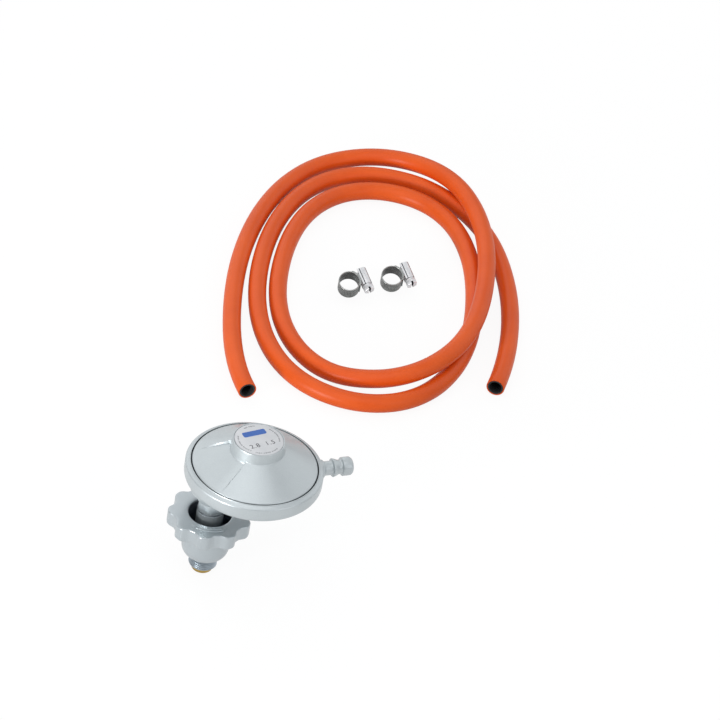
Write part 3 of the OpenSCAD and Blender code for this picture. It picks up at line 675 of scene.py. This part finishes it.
def make_wheel():
    """Rim, cup and bore in one lathe run; the columns of the rim are then drawn in between the lobes."""
    foot, brow = 1.9, 0.85      # fillets of the rim, below and above
    grip_r = 17.5               # outside of this the rim is drawn in
    rings = [(7.45, 15.0), (7.45, Z_CUP + 0.1), (7.6, Z_CUP), (8.9, Z_CUP)]
    rings += arc(9.2, 18.5, 4.75, 84, 0, 12, rise=-6.5)
    rings += [(CUP_R, 22), (CUP_R, 27), (CUP_R, 30.2), (14.2, 31.0), (14.8, 31.5), (15.8, Z_GRIP),
              (18.6, Z_GRIP), (21.0, Z_GRIP)]
    rings += arc(WHEEL_R - foot, Z_GRIP + foot, foot, -90, 0)
    rings += [(WHEEL_R, 35.5), (WHEEL_R, 39.0)]
    rings += arc(WHEEL_R - brow, Z_TOP - brow, brow, 0, 90)
    rings += [(21.4, Z_TOP), (18.2, Z_TOP), (16.0, Z_TOP), (13.6, Z_TOP), (13.2, Z_TOP - 0.06),
              (12.85, Z_TOP - 0.25), (12.68, Z_TOP - 0.6), (BORE_R, Z_TOP - 1.4), (BORE_R, 34),
              (BORE_R, 26), (BORE_R, 19)]
    rings += arc(8.4, 18.5, 4.25, 10, 90, 5, rise=-3.4)
    wheel = turned(rings, LOBES * PER_LOBE, close=True)
    lobe = 360 / LOBES
    half_column = lobe / PER_LOBE / 2 + 0.001
    for k in range(PER_LOBE):
        middle = k * lobe / PER_LOBE
        c = math.cos(math.radians(LOBES * middle))
        dip = LOBE_DEPTH * (1 - 1.5 * c + c ** 3 / 2)

        def in_column(spot):
            turn = (math.degrees(math.atan2(spot.y, spot.x)) - LOBE_TURN - middle) % lobe
            return from_axis(spot) > grip_r and min(turn, lobe - turn) < half_column
        pick(wheel, in_column)
        share = (WHEEL_R - dip) / WHEEL_R
        bpy.ops.transform.resize(value=(share, share, 1), center_override=(0, 0, 0))
        bpy.ops.object.mode_set(mode="OBJECT")
    settle(wheel, "wheel_casting", 30)
    dress(wheel, WHEEL_PAINT, "handwheel")
    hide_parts("handwheel")
    # painted shade down the bore
    paint_shade(wheel, lambda spot: from_axis(spot) < BORE_R + 0.01 and 15 < spot.z < Z_TOP - 1.0,
              BORE_SHADE_PAINT)
    make_arrow()


def make_arrow():
    """Raised arrow on the wheel's face, for the way it turns: two ridges and a head at each end."""
    crown = Z_TOP + 0.36
    ridges = turned([(15.45, Z_TOP - 0.05), (15.5, Z_TOP + 0.25), (15.62, crown), (15.78, crown),
                     (15.9, Z_TOP + 0.25), (15.95, Z_TOP + 0.03), (17.15, Z_TOP + 0.03),
                     (17.2, Z_TOP + 0.25), (17.32, crown), (17.48, crown), (17.6, Z_TOP + 0.25),
                     (17.65, Z_TOP - 0.05)], 240, close=True)

    def past_the_ends(spot):
        turn = math.degrees(math.atan2(spot.y, spot.x))
        return abs((turn - ARROW_AT + 180) % 360 - 180) > ARROW_HALF
    cut_away(ridges, past_the_ends)
    settle(ridges, "wheel_arrow")
    dress(ridges, WHEEL_PAINT, "handwheel")
    for side, name in ((-1, "wheel_arrow_head_a"), (1, "wheel_arrow_head_b")):
        turn = math.radians(ARROW_AT + side * (ARROW_HALF + 2.6))
        reach = 16.55 * MM
        deselect()
        bpy.ops.mesh.primitive_cylinder_add(vertices=3, radius=2.0 * MM, depth=0.45 * MM,
                                            location=(reach * math.cos(turn), reach * math.sin(turn),
                                                      (Z_TOP + 0.16) * MM),
                                            rotation=(0, 0, turn + (0 if side > 0 else math.pi)))
        head = bpy.context.object
        use(head, "BEVEL", width=0.1 * MM, segments=2)
        settle(head, name)
        dress(head, WHEEL_PAINT, "handwheel")


FORM_FOOT = 0.86       # a thread form's foot as a share of the pitch
FORM_CREST = 0.22      # its crest as a share of the foot


def run_thread(root, crest, pitch, start, turns, left=False):
    """A four-cornered thread form, run up its helix with the Screw modifier."""
    middle = (crest + root) / 2
    deselect()
    bpy.ops.mesh.primitive_plane_add(size=1)
    thread = bpy.context.object
    bpy.ops.object.mode_set(mode="EDIT")
    bpy.ops.mesh.delete(type="ONLY_FACE")
    bpy.ops.object.mode_set(mode="OBJECT")
    thread.rotation_euler = (math.radians(90), 0, 0)
    thread.scale = ((crest - root) * MM, pitch * FORM_FOOT * MM, 1)
    thread.location = (middle * MM, 0, start * MM)
    bpy.ops.object.transform_apply(location=True, rotation=True, scale=True)
    pick(thread, lambda spot: spot.x > middle)
    bpy.ops.transform.resize(value=(1, 1, FORM_CREST), center_override=(0, 0, start * MM))
    bpy.ops.object.mode_set(mode="OBJECT")
    steps = int(turns * 48)
    use(thread, "SCREW", angle=(-1 if left else 1) * 2 * math.pi * turns, screw_offset=pitch * turns * MM,
        iterations=1, steps=steps, render_steps=steps)
    close_holes(thread)
    outward(thread)
    return thread


THREAD_R, THREAD_PITCH = 8.33, 1.337


def make_nipple():
    """The plated nipple under the cup, with painted shadow of the cup on the relief above its left-hand thread.
    """
    core = turned([(5.5, 4.3), (7.1, 4.3), (7.2, Z_NECK + 0.02), (7.6, Z_NECK), (7.8, Z_NECK + 0.2),
                   (7.8, Z_CUP - 2.4), (6.95, Z_CUP - 2.1), (6.95, Z_CUP + 0.3), (7.4, Z_CUP + 0.5),
                   (7.4, Z_FLOOR), (8.35, Z_FLOOR + 0.02), (8.4, Z_FLOOR + 0.7), (8.1, Z_HEAD),
                   (5.6, Z_HEAD)], 96, close=True)
    settle(core, "nipple_core")
    thread = run_thread(7.7, THREAD_R, THREAD_PITCH, Z_NECK + 0.75, 3.5, left=True)
    settle(thread, "nipple_thread", 40)
    for piece in (core, thread):
        dress(piece, STEEL, "handwheel")
        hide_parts("thread_nipple")
    # painted shadow of the cup on the relief
    paint_shade(core, lambda spot: from_axis(spot) < 7.9 and Z_CUP - 2.45 < spot.z < Z_CUP + 0.4)


def make_nose():
    """The brass nose: its flange below, its tube up through the wheel into the stem."""
    flange = [(2.0, 0.9), (5.3, 0.9), (5.3, 0.08), (5.4, 0.0), (5.5, 0.0), (6.0, 0.5), (6.16, 0.8),
              (6.2, 1.1), (6.2, 3.25), (6.1, 3.42), (5.9, 3.45)]
    tube = [(5.2, 3.45), (5.2, Z_STEM), (4.0, Z_STEM + 0.05), (4.0, Z_STEM + 7.6), (3.7, Z_STEM + 7.9),
            (2.0, Z_STEM + 7.9)]
    nose = turned(flange + tube, 96, close=True)
    settle(nose, "nose_turning")
    dress(nose, BRASS, "regulator")
    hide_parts("inlet_nose")


make_stem()
make_wheel()
make_nipple()
make_nose()


# ---------------------------------------------------------------- clips
CLIPS = (("a", 176.5, 240.2), ("b", 206.3, 241.6))      # where the middle of each ring stands
LEAN, SIDE, TURN = math.radians(27), math.radians(-26), math.radians(4.9)
RING_R = 7.0
RING_MID = 5.0               # half the band's width
WORM_X = 10.85               # the screw's axis from the ring's
WORM_Y = -4.35               # underside of the screw's collar
SADDLE_TOP, SADDLE_L = 7.25, 11.5
SADDLE_R, SADDLE_WALL, SADDLE_LEG = 3.1, 0.7, 2.9
LEG_FOLD, BACK_FOLD = 1.45, 52     # a fold down each leg, and one round the back in degrees
HEAD_FLATS = 6.2


def clip_place(x, y):
    return (Matrix.Translation((x * MM, y * MM, RING_R * math.sin(LEAN) * MM)) @ Matrix.Rotation(SIDE, 4, "Z")
            @ Matrix.Rotation(LEAN, 4, "X") @ Matrix.Rotation(TURN - SIDE, 4, "Z"))


def cut_bar(piece, place, size, turn=0.0):
    """Takes a straight bar out of a piece."""
    deselect()
    bpy.ops.mesh.primitive_cube_add(size=1, location=place, rotation=(0, turn, 0), scale=size)
    bar = bpy.context.object
    use(piece, "BOOLEAN", operation="DIFFERENCE", object=bar, solver="EXACT")
    bpy.data.objects.remove(bar)


def make_saddle():
    """Half a ring, its two legs drawn in to the band, pulled out along the screw and folded."""
    deselect()
    bpy.ops.mesh.primitive_circle_add(vertices=48, radius=SADDLE_R * MM,
                                      location=(WORM_X * MM, SADDLE_TOP * MM, RING_MID * MM),
                                      rotation=(math.radians(90), 0, 0))
    saddle = bpy.context.object
    bpy.ops.object.transform_apply(location=True, rotation=True)
    pick(saddle, lambda spot: spot.x < WORM_X - 0.05)
    bpy.ops.mesh.delete(type="VERT")
    bpy.ops.object.mode_set(mode="OBJECT")
    pick(saddle, lambda spot: spot.x < WORM_X + 0.05)
    bpy.ops.mesh.extrude_vertices_move(TRANSFORM_OT_translate={"value": (-SADDLE_LEG * MM, 0, 0)})
    bpy.ops.mesh.select_all(action="SELECT")
    bpy.ops.mesh.extrude_edges_move(TRANSFORM_OT_translate={"value": (0, -SADDLE_L * MM, 0)})
    bpy.ops.mesh.select_all(action="SELECT")
    bpy.ops.mesh.normals_make_consistent(inside=False)
    bpy.ops.object.mode_set(mode="OBJECT")
    use(saddle, "SOLIDIFY", thickness=SADDLE_WALL * MM, offset=0.0)
    use(saddle, "BEVEL", width=0.14 * MM, segments=2, limit_method="ANGLE", angle_limit=math.radians(40))
    out = SADDLE_R + SADDLE_WALL / 2
    back = math.radians(BACK_FOLD)
    for side in (1, -1):
        for x, lift, turn in ((-LEG_FOLD, out, 0), (out * math.sin(back), out * math.cos(back), back)):
            cut_bar(saddle, ((WORM_X + x) * MM, 1.5 * MM, (RING_MID + side * lift) * MM),
                    (0.55 * MM, 14 * MM, 0.9 * MM), side * turn)
    return saddle


def make_screw():
    """Core, slotted hexagon head and worm, made upright and then laid along the saddle."""
    core = turned([(0.4, -11.5), (1.9, -11.5), (2.1, -11.2), (2.1, 0.0), (3.2, 0.05), (3.35, 0.2),
                   (3.35, 0.75), (3.2, 0.9), (0.4, 0.9)], 48)
    deselect()
    bpy.ops.mesh.primitive_cylinder_add(vertices=6, radius=HEAD_FLATS / math.sqrt(3) * MM, depth=3.6 * MM,
                                        location=(0, 0, 2.6 * MM))
    head = bpy.context.object
    bpy.ops.object.transform_apply(location=True)
    use(head, "BEVEL", width=0.35 * MM, segments=3, limit_method="ANGLE", angle_limit=math.radians(30))
    cut_bar(head, (0, 0, 4.4 * MM), (1.3 * MM, 12 * MM, 3.2 * MM))
    worm = run_thread(2.0, 2.65, 1.5, -10.9, 6.8)
    for piece in (core, head, worm):
        grab(piece)
        piece.rotation_euler = (math.radians(90), 0, 0)
        piece.location = (WORM_X * MM, WORM_Y * MM, RING_MID * MM)
        bpy.ops.object.transform_apply(location=True, rotation=True)
    return core, head, worm


def make_clip_pieces():
    """One clip, upright at the origin with its screw to the right."""
    band = turned([(6.4, 0.12), (6.4, 9.88), (6.5, 9.99), (6.9, 9.99), (RING_R, 9.88), (RING_R, 0.12),
                   (6.9, 0.01), (6.5, 0.01)], 128, close=True)
    lap = turned([(7.02, 0.12), (7.02, 9.88), (7.1, 9.99), (7.5, 9.99), (7.6, 9.88), (7.6, 0.12),
                  (7.5, 0.01), (7.1, 0.01)], 180, close=True)
    cut_away(lap, lambda spot: not -42 < math.degrees(math.atan2(spot.y, spot.x)) < 56)
    outward(lap)
    saddle = make_saddle()
    core, head, worm = make_screw()
    return {"clip_ring_": band, "clip_lap_": lap, "clip_saddle_": saddle, "clip_worm_core_": core,
            "clip_head_": head, "clip_worm_": worm}


def in_fold(spot):
    """Floor and walls of the saddle's folds, in the upright clip."""
    x, lift = spot.x - WORM_X, abs(spot.z - RING_MID)
    out = math.hypot(x, lift) if x > 0 else lift
    along = math.atan2(x, lift) * SADDLE_R if x > 0 else x
    near = min(abs(along + LEG_FOLD), abs(along - math.radians(BACK_FOLD) * SADDLE_R))
    return near < 0.34 and SADDLE_R - 0.2 < out < SADDLE_R + 0.3


def in_slot(spot):
    """Floor and walls of the slot in the screw's head, in the upright clip."""
    return abs(spot.x - WORM_X) < 0.7 and -8.7 < spot.y < -7.0


def make_clips():
    pieces = make_clip_pieces()
    for tag, x, y in CLIPS:
        place = clip_place(x, y)
        home = place.inverted()
        band_steel = clip_band_steel("clip_band_steel_" + tag, place)
        for name, model in pieces.items():
            piece = copy_of(model)
            piece.matrix_world = place
            settle(piece, name + tag, 36)
            if name in ("clip_ring_", "clip_lap_"):
                dress(piece, band_steel, "regulator")
                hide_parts("clip_band_" + tag)
            elif name == "clip_saddle_":
                dress(piece, BRIGHT, "regulator")
                # painted shade in the floor and walls of the saddle's folds
                paint_shade(piece, lambda spot: in_fold(home @ (spot * MM) / MM))
                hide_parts("clip_housing_" + tag)
            else:
                dress(piece, BRIGHT, "clip_screw_" + tag)
                if name == "clip_head_":
                    # painted shade in the slot of the screw's head
                    paint_shade(piece, lambda spot: in_slot(home @ (spot * MM) / MM))
                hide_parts("clip_screw_" + tag)
    for model in pieces.values():
        bpy.data.objects.remove(model)


make_clips()


# ---------------------------------------------------------------- finishes of the inner parts
INNER = {"adjuster": BRASS, "main_spring": STEEL, "spring_plate": STEEL, "diaphragm": RUBBER,
         "centre_pin": BRASS, "pin_nut": STEEL, "lever": STEEL, "lever_pin": STEEL,
         "valve_plunger": BRASS, "valve_seal": RUBBER, "orifice": BRASS, "inlet_filter": BRONZE,
         "nose_ring": RUBBER, "slip_washer": STEEL}
for name, finish in INNER.items():
    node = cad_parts[name]
    node.data.materials.clear()
    node.data.materials.append(finish)


# ---------------------------------------------------------------- floor and light
LAMPS_AIM = Vector((0.1, 0.12, 0.03))
GLOW_SEEN, GLOW_MIRRORED = 0.86, 0.45      # share of the paper's glow for the camera and in mirrors


def floor_paper():
    """White paper that takes shadows. It glows to the camera, and less in what mirrors it."""
    mat = bpy.data.materials.new("floor_paper")
    mat.use_nodes = True
    tree = mat.node_tree
    paper = tree.nodes["Principled BSDF"]
    paper.inputs["Base Color"].default_value = (0.65, 0.65, 0.65, 1)
    paper.inputs["Roughness"].default_value = 0.9
    paper.inputs["Specular IOR Level"].default_value = 0.1
    glow = add_node(tree, "ShaderNodeEmission", {"Strength": 1.07})
    path = add_node(tree, "ShaderNodeLightPath")
    mirrored = add_node(tree, "ShaderNodeMath", {0: path.outputs["Is Glossy Ray"], 1: GLOW_MIRRORED},
                        operation="MULTIPLY")
    share = add_node(tree, "ShaderNodeMath", {0: path.outputs["Is Camera Ray"], 1: GLOW_SEEN,
                                              2: mirrored.outputs[0]}, operation="MULTIPLY_ADD")
    mix = add_node(tree, "ShaderNodeMixShader", {0: share.outputs[0], 1: paper.outputs[0],
                                                 2: glow.outputs[0]})
    tree.links.new(mix.outputs[0], tree.nodes["Material Output"].inputs["Surface"])
    return mat


def room():
    """Soft light from all round; plain white where the camera looks past everything."""
    world = bpy.data.worlds.new("studio")
    bpy.context.scene.world = world
    world.use_nodes = True
    tree = world.node_tree
    soft = tree.nodes["Background"]
    soft.inputs["Color"].default_value = (0.95, 0.97, 1.0, 1)
    soft.inputs["Strength"].default_value = 0.42
    white = add_node(tree, "ShaderNodeBackground", {"Strength": 1.0})
    path = add_node(tree, "ShaderNodeLightPath")
    mix = add_node(tree, "ShaderNodeMixShader", {0: path.outputs["Is Camera Ray"], 1: soft.outputs[0],
                                                 2: white.outputs[0]})
    tree.links.new(mix.outputs[0], tree.nodes["World Output"].inputs["Surface"])


def lamp(name, place, size, power, color=(1, 1, 1)):
    bpy.ops.object.light_add(type="AREA", location=place)
    light = bpy.context.object
    light.name = name
    light.data.size = size
    light.data.energy = power
    light.data.color = color
    light.rotation_euler = (LAMPS_AIM - Vector(place)).to_track_quat("-Z", "Y").to_euler()


def studio():
    deselect()
    bpy.ops.mesh.primitive_plane_add(size=12, location=(0.1, 0.1, -0.0004))
    floor = bpy.context.object
    floor.name = "floor"
    floor.data.materials.append(floor_paper())
    room()
    lamp("key", (-0.40, -0.30, 1.66), 1.75, 9)
    lamp("left", (-1.40, -0.65, 0.28), 0.4, 15)
    lamp("fill", (0.9, -1.3, 0.9), 1.2, 4, (0.97, 0.98, 1))
    lamp("right", (1.45, 0.50, 1.0), 1.7, 4.5)
    lamp("back", (-0.1, 1.5, 1.0), 2.0, 8)
    bpy.context.scene.view_settings.view_transform = "Standard"


studio()
